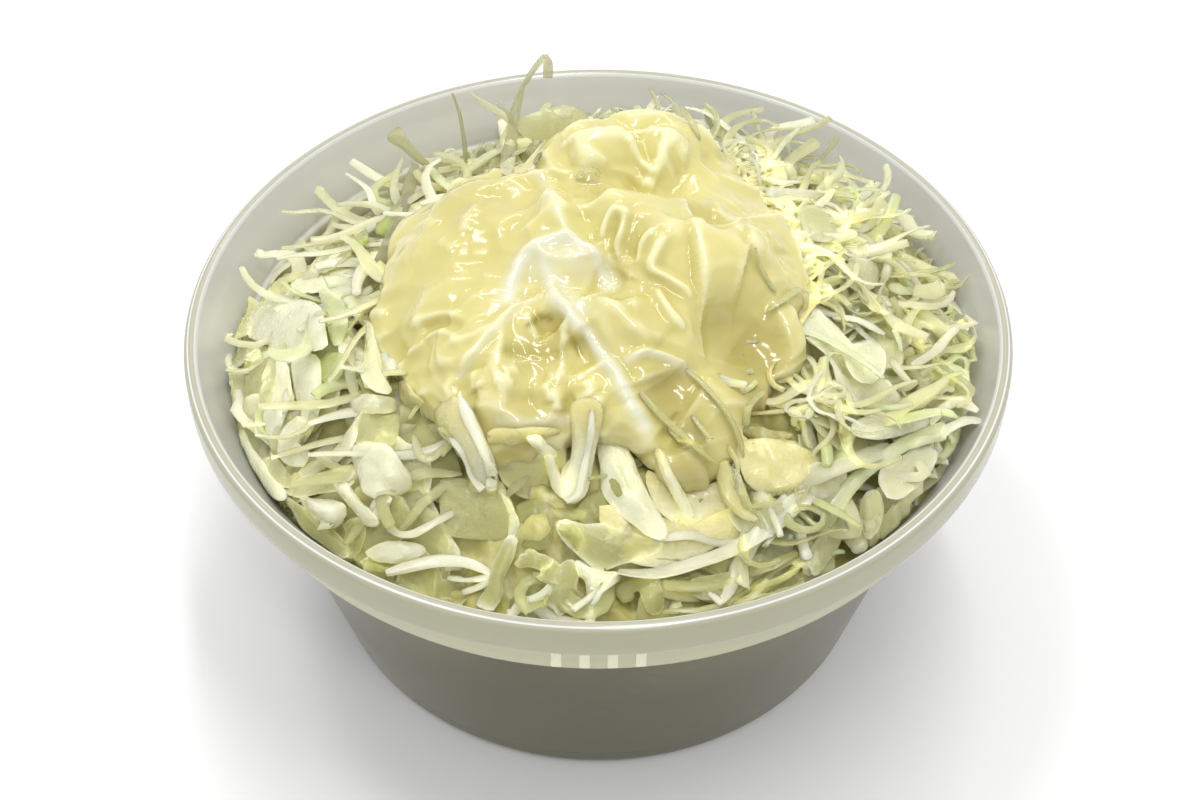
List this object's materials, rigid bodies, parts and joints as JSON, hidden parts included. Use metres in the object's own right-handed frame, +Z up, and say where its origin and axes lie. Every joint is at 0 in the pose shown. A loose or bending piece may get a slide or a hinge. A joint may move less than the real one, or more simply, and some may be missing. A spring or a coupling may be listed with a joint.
{
  "type": "coleslaw",
  "caption": "Shredded cabbage coleslaw heaped in a round translucent takeaway cup, with thick pale yellow egg dressing spooned over the crown.",
  "frame": {"origin": "middle of the cup's foot, on the surface it stands on", "axes": "+Z up along the cup's axis, -Y towards the viewer, +X to the viewer's right"},
  "size_m": [0.117, 0.117, 0.0751],
  "materials": {
    "cup": "frosted translucent polypropylene, greyish clear",
    "cabbage": "moist raw cabbage, white to pale green",
    "dressing": "glossy pale yellow egg dressing"
  },
  "bodies": {
    "root": {"cup": "cup", "cabbage": "cabbage", "dressing": "dressing"}
  },
  "joints": []
}
